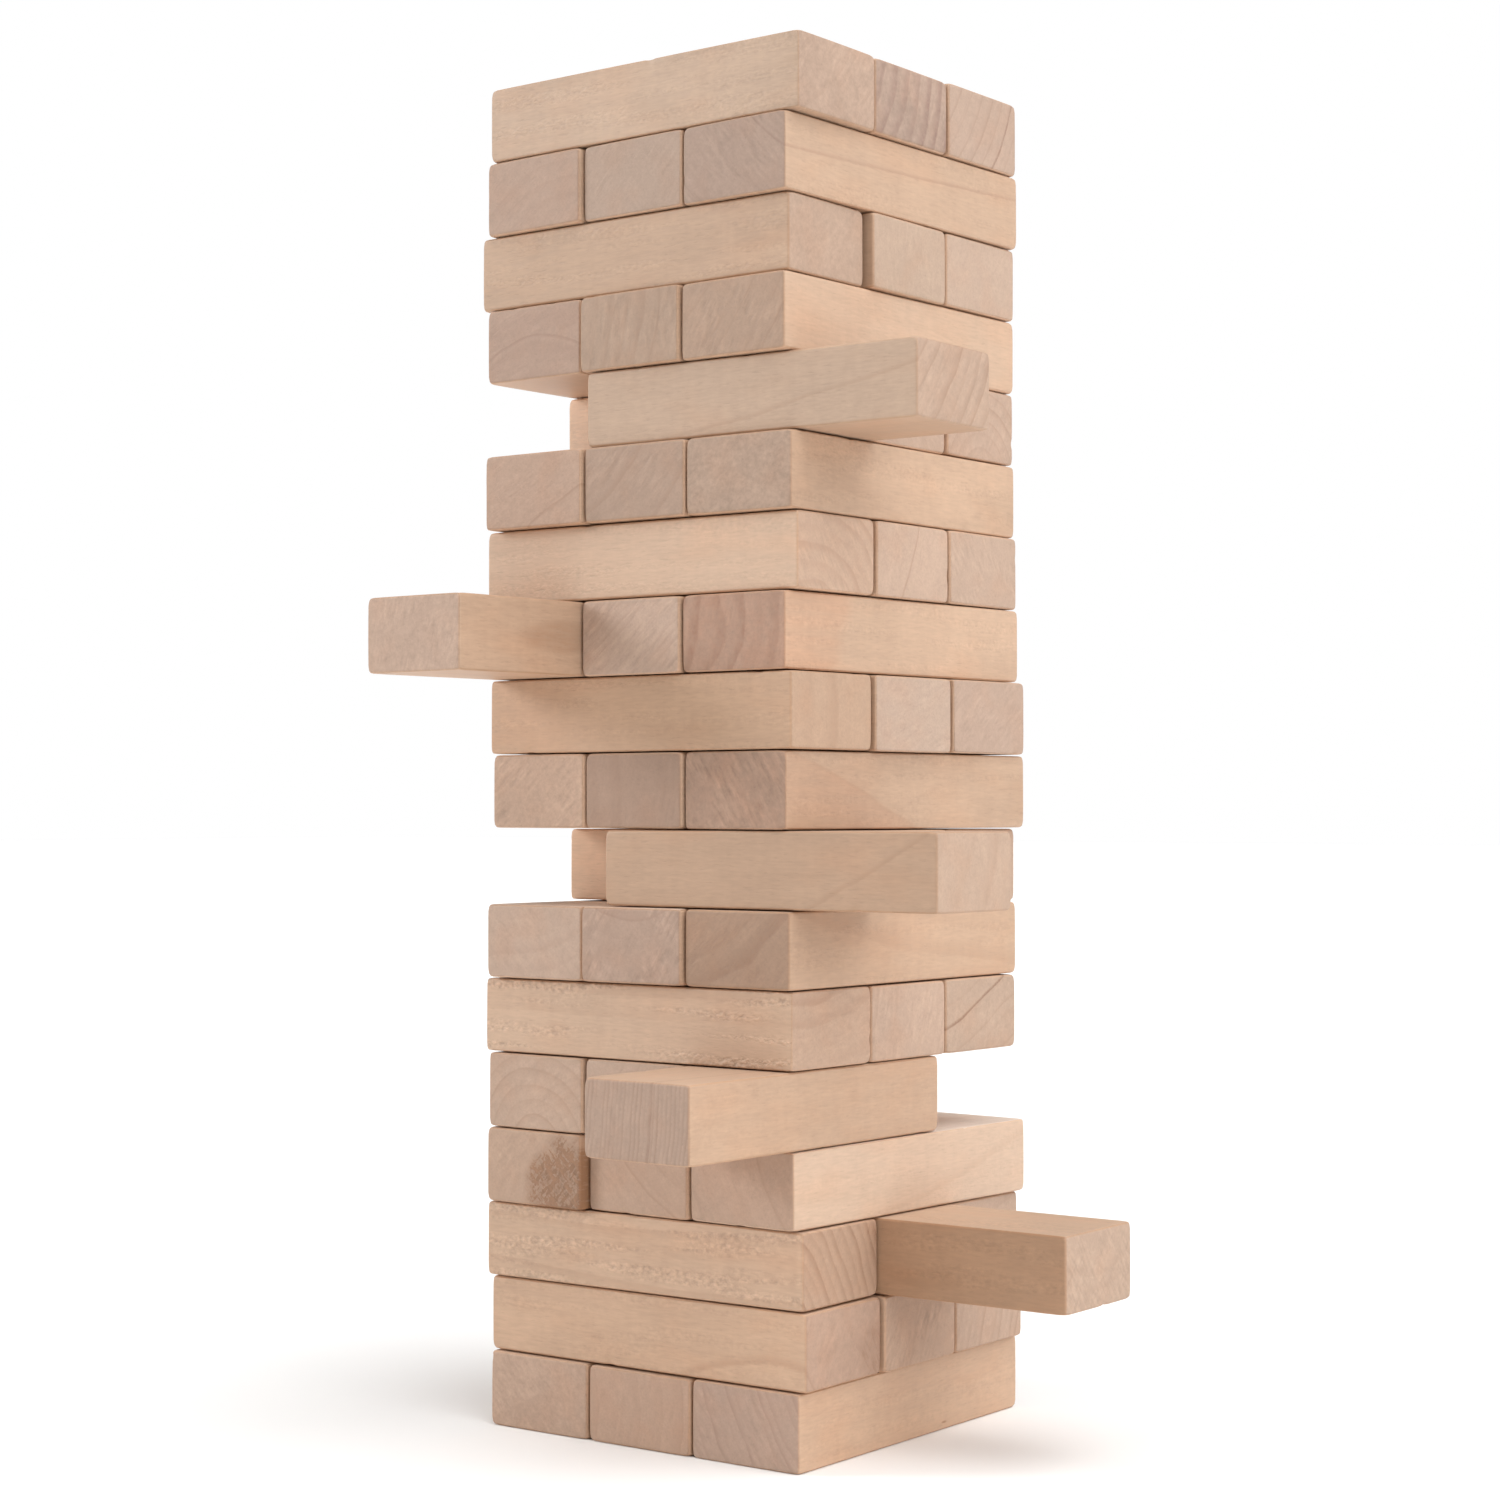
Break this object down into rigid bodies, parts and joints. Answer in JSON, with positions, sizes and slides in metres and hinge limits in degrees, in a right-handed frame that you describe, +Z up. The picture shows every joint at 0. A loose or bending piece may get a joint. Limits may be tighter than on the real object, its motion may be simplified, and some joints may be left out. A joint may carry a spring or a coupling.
{
  "type": "giant tumbling tower",
  "caption": "Lawn-game tower of loose, unfinished pine blocks laid three to a course, with some blocks pushed part of the way out.",
  "frame": {"origin": "on the ground at the centre line of the tower, on the underside of the bottom course's middle block", "axes": "+Z up along the height of the tower, +X along the blocks that show their long sides to the front, -Y the front"},
  "size_m": [0.2808, 0.2673, 0.6297],
  "materials": {
    "pine": "unfinished sanded softwood"
  },
  "bodies": {
    "course_01_left": {"course_01_left": "pine"},
    "course_01_middle": {"course_01_middle": "pine"},
    "course_01_right": {"course_01_right": "pine"},
    "course_02_front": {"course_02_front": "pine"},
    "course_02_middle": {"course_02_middle": "pine"},
    "course_02_back": {"course_02_back": "pine"},
    "course_03_front": {"course_03_front": "pine"},
    "course_03_middle": {"course_03_middle": "pine"},
    "course_03_back": {"course_03_back": "pine"},
    "course_04_left": {"course_04_left": "pine"},
    "course_04_middle": {"course_04_middle": "pine"},
    "course_04_right": {"course_04_right": "pine"},
    "course_05_left": {"course_05_left": "pine"},
    "course_05_middle": {"course_05_middle": "pine"},
    "course_05_right": {"course_05_right": "pine"},
    "course_06_front": {"course_06_front": "pine"},
    "course_06_middle": {"course_06_middle": "pine"},
    "course_06_back": {"course_06_back": "pine"},
    "course_07_left": {"course_07_left": "pine"},
    "course_07_middle": {"course_07_middle": "pine"},
    "course_07_right": {"course_07_right": "pine"},
    "course_08_front": {"course_08_front": "pine"},
    "course_08_middle": {"course_08_middle": "pine"},
    "course_08_back": {"course_08_back": "pine"},
    "course_09_left": {"course_09_left": "pine"},
    "course_09_middle": {"course_09_middle": "pine"},
    "course_09_right": {"course_09_right": "pine"},
    "course_10_front": {"course_10_front": "pine"},
    "course_10_middle": {"course_10_middle": "pine"},
    "course_10_back": {"course_10_back": "pine"},
    "course_11_left": {"course_11_left": "pine"},
    "course_11_middle": {"course_11_middle": "pine"},
    "course_11_right": {"course_11_right": "pine"},
    "course_12_front": {"course_12_front": "pine"},
    "course_12_middle": {"course_12_middle": "pine"},
    "course_12_back": {"course_12_back": "pine"},
    "course_13_left": {"course_13_left": "pine"},
    "course_13_middle": {"course_13_middle": "pine"},
    "course_13_right": {"course_13_right": "pine"},
    "course_14_front": {"course_14_front": "pine"},
    "course_14_middle": {"course_14_middle": "pine"},
    "course_14_back": {"course_14_back": "pine"},
    "course_15_left": {"course_15_left": "pine"},
    "course_15_middle": {"course_15_middle": "pine"},
    "course_15_right": {"course_15_right": "pine"},
    "course_16_front": {"course_16_front": "pine"},
    "course_16_middle": {"course_16_middle": "pine"},
    "course_16_back": {"course_16_back": "pine"},
    "course_17_left": {"course_17_left": "pine"},
    "course_17_middle": {"course_17_middle": "pine"},
    "course_17_right": {"course_17_right": "pine"},
    "course_18_front": {"course_18_front": "pine"},
    "course_18_middle": {"course_18_middle": "pine"},
    "course_18_back": {"course_18_back": "pine"}
  },
  "joints": [
    {"name": "course_01_left_slide", "type": "slide", "parent": "course_01_middle", "child": "course_01_left", "axis": [-0.0227, 0.9997, 0], "range_m": [-0.1945, 0.1855]},
    {"name": "course_01_right_slide", "type": "slide", "parent": "course_01_middle", "child": "course_01_right", "axis": [-0.0227, 0.9997, 0], "range_m": [-0.195, 0.185]},
    {"name": "course_02_front_slide", "type": "slide", "parent": "course_01_middle", "child": "course_02_front", "axis": [0.9997, 0.0244, 0], "range_m": [-0.1885, 0.1915]},
    {"name": "course_02_middle_slide", "type": "slide", "parent": "course_01_middle", "child": "course_02_middle", "axis": [0.9997, 0.0244, 0], "range_m": [-0.19, 0.19]},
    {"name": "course_02_back_slide", "type": "slide", "parent": "course_01_middle", "child": "course_02_back", "axis": [0.9997, 0.0244, 0], "range_m": [-0.1905, 0.1895]},
    {"name": "course_03_front_slide", "type": "slide", "parent": "course_01_middle", "child": "course_03_front", "axis": [0.9995, 0.0332, 0], "range_m": [-0.1865, 0.1935]},
    {"name": "course_03_middle_slide", "type": "slide", "parent": "course_01_middle", "child": "course_03_middle", "axis": [0.9995, 0.0332, 0], "range_m": [-0.283, 0.097]},
    {"name": "course_03_back_slide", "type": "slide", "parent": "course_01_middle", "child": "course_03_back", "axis": [0.9995, 0.0332, 0], "range_m": [-0.189, 0.191]},
    {"name": "course_04_left_slide", "type": "slide", "parent": "course_01_middle", "child": "course_04_left", "axis": [0.0157, 0.9999, 0], "range_m": [-0.189, 0.191]},
    {"name": "course_04_middle_slide", "type": "slide", "parent": "course_01_middle", "child": "course_04_middle", "axis": [0.0157, 0.9999, 0], "range_m": [-0.1945, 0.1855]},
    {"name": "course_04_right_slide", "type": "slide", "parent": "course_01_middle", "child": "course_04_right", "axis": [0.0157, 0.9999, 0], "range_m": [-0.196, 0.184]},
    {"name": "course_05_left_slide", "type": "slide", "parent": "course_01_middle", "child": "course_05_left", "axis": [0.0105, 0.9999, 0], "range_m": [-0.1895, 0.1905]},
    {"name": "course_05_middle_slide", "type": "slide", "parent": "course_01_middle", "child": "course_05_middle", "axis": [0.0105, 0.9999, 0], "range_m": [-0.191, 0.189]},
    {"name": "course_05_right_slide", "type": "slide", "parent": "course_01_middle", "child": "course_05_right", "axis": [0.0105, 0.9999, 0], "range_m": [-0.123, 0.257]},
    {"name": "course_06_front_slide", "type": "slide", "parent": "course_01_middle", "child": "course_06_front", "axis": [1, -0.0087, 0], "range_m": [-0.1895, 0.1905]},
    {"name": "course_06_middle_slide", "type": "slide", "parent": "course_01_middle", "child": "course_06_middle", "axis": [1, -0.0087, 0], "range_m": [-0.189, 0.191]},
    {"name": "course_06_back_slide", "type": "slide", "parent": "course_01_middle", "child": "course_06_back", "axis": [1, -0.0087, 0], "range_m": [-0.189, 0.191]},
    {"name": "course_07_left_slide", "type": "slide", "parent": "course_01_middle", "child": "course_07_left", "axis": [0, 1, 0], "range_m": [-0.1875, 0.1925]},
    {"name": "course_07_middle_slide", "type": "slide", "parent": "course_01_middle", "child": "course_07_middle", "axis": [0, 1, 0], "range_m": [-0.1865, 0.1935]},
    {"name": "course_07_right_slide", "type": "slide", "parent": "course_01_middle", "child": "course_07_right", "axis": [0, 1, 0], "range_m": [-0.1885, 0.1915]},
    {"name": "course_08_front_slide", "type": "slide", "parent": "course_01_middle", "child": "course_08_front", "axis": [0.9999, 0.0105, 0], "range_m": [-0.263, 0.117]},
    {"name": "course_08_middle_slide", "type": "slide", "parent": "course_01_middle", "child": "course_08_middle", "axis": [0.9999, 0.0105, 0], "range_m": [-0.191, 0.189]},
    {"name": "course_08_back_slide", "type": "slide", "parent": "course_01_middle", "child": "course_08_back", "axis": [0.9999, 0.0105, 0], "range_m": [-0.19, 0.19]},
    {"name": "course_09_left_slide", "type": "slide", "parent": "course_01_middle", "child": "course_09_left", "axis": [0.0384, 0.9993, 0], "range_m": [-0.191, 0.189]},
    {"name": "course_09_middle_slide", "type": "slide", "parent": "course_01_middle", "child": "course_09_middle", "axis": [0.0384, 0.9993, 0], "range_m": [-0.1915, 0.1885]},
    {"name": "course_09_right_slide", "type": "slide", "parent": "course_01_middle", "child": "course_09_right", "axis": [0.0384, 0.9993, 0], "range_m": [-0.193, 0.187]},
    {"name": "course_10_front_slide", "type": "slide", "parent": "course_01_middle", "child": "course_10_front", "axis": [0.9997, -0.0244, 0], "range_m": [-0.191, 0.189]},
    {"name": "course_10_middle_slide", "type": "slide", "parent": "course_01_middle", "child": "course_10_middle", "axis": [0.9997, -0.0244, 0], "range_m": [-0.1925, 0.1875]},
    {"name": "course_10_back_slide", "type": "slide", "parent": "course_01_middle", "child": "course_10_back", "axis": [0.9997, -0.0244, 0], "range_m": [-0.1935, 0.1865]},
    {"name": "course_11_left_slide", "type": "slide", "parent": "course_01_middle", "child": "course_11_left", "axis": [0.0227, 0.9997, 0], "range_m": [-0.111, 0.269]},
    {"name": "course_11_middle_slide", "type": "slide", "parent": "course_01_middle", "child": "course_11_middle", "axis": [0.0227, 0.9997, 0], "range_m": [-0.1895, 0.1905]},
    {"name": "course_11_right_slide", "type": "slide", "parent": "course_01_middle", "child": "course_11_right", "axis": [0.0227, 0.9997, 0], "range_m": [-0.191, 0.189]},
    {"name": "course_12_front_slide", "type": "slide", "parent": "course_01_middle", "child": "course_12_front", "axis": [0.9999, 0.0122, 0], "range_m": [-0.189, 0.191]},
    {"name": "course_12_middle_slide", "type": "slide", "parent": "course_01_middle", "child": "course_12_middle", "axis": [0.9999, 0.0122, 0], "range_m": [-0.19, 0.19]},
    {"name": "course_12_back_slide", "type": "slide", "parent": "course_01_middle", "child": "course_12_back", "axis": [0.9999, 0.0122, 0], "range_m": [-0.1905, 0.1895]},
    {"name": "course_13_left_slide", "type": "slide", "parent": "course_01_middle", "child": "course_13_left", "axis": [-0.0087, 1, 0], "range_m": [-0.186, 0.194]},
    {"name": "course_13_middle_slide", "type": "slide", "parent": "course_01_middle", "child": "course_13_middle", "axis": [-0.0087, 1, 0], "range_m": [-0.1875, 0.1925]},
    {"name": "course_13_right_slide", "type": "slide", "parent": "course_01_middle", "child": "course_13_right", "axis": [-0.0087, 1, 0], "range_m": [-0.188, 0.192]},
    {"name": "course_14_front_slide", "type": "slide", "parent": "course_01_middle", "child": "course_14_front", "axis": [0.9997, 0.0262, 0], "range_m": [-0.2495, 0.1305]},
    {"name": "course_14_middle_slide", "type": "slide", "parent": "course_01_middle", "child": "course_14_middle", "axis": [0.9997, 0.0262, 0], "range_m": [-0.1885, 0.1915]},
    {"name": "course_14_back_slide", "type": "slide", "parent": "course_01_middle", "child": "course_14_back", "axis": [0.9997, 0.0262, 0], "range_m": [-0.189, 0.191]},
    {"name": "course_15_left_slide", "type": "slide", "parent": "course_01_middle", "child": "course_15_left", "axis": [0.0122, 0.9999, 0], "range_m": [-0.19, 0.19]},
    {"name": "course_15_middle_slide", "type": "slide", "parent": "course_01_middle", "child": "course_15_middle", "axis": [0.0122, 0.9999, 0], "range_m": [-0.189, 0.191]},
    {"name": "course_15_right_slide", "type": "slide", "parent": "course_01_middle", "child": "course_15_right", "axis": [0.0122, 0.9999, 0], "range_m": [-0.1905, 0.1895]},
    {"name": "course_16_front_slide", "type": "slide", "parent": "course_01_middle", "child": "course_16_front", "axis": [1, 0.0035, 0], "range_m": [-0.185, 0.195]},
    {"name": "course_16_middle_slide", "type": "slide", "parent": "course_01_middle", "child": "course_16_middle", "axis": [1, 0.0035, 0], "range_m": [-0.1885, 0.1915]},
    {"name": "course_16_back_slide", "type": "slide", "parent": "course_01_middle", "child": "course_16_back", "axis": [1, 0.0035, 0], "range_m": [-0.1885, 0.1915]},
    {"name": "course_17_left_slide", "type": "slide", "parent": "course_01_middle", "child": "course_17_left", "axis": [0.0209, 0.9998, 0], "range_m": [-0.1885, 0.1915]},
    {"name": "course_17_middle_slide", "type": "slide", "parent": "course_01_middle", "child": "course_17_middle", "axis": [0.0209, 0.9998, 0], "range_m": [-0.1905, 0.1895]},
    {"name": "course_17_right_slide", "type": "slide", "parent": "course_01_middle", "child": "course_17_right", "axis": [0.0209, 0.9998, 0], "range_m": [-0.191, 0.189]},
    {"name": "course_18_front_lift", "type": "slide", "parent": "course_01_middle", "child": "course_18_front", "axis": [0, 0, 1], "range_m": [0, 0.15]},
    {"name": "course_18_middle_lift", "type": "slide", "parent": "course_01_middle", "child": "course_18_middle", "axis": [0, 0, 1], "range_m": [0, 0.15]},
    {"name": "course_18_back_lift", "type": "slide", "parent": "course_01_middle", "child": "course_18_back", "axis": [0, 0, 1], "range_m": [0, 0.15]}
  ]
}
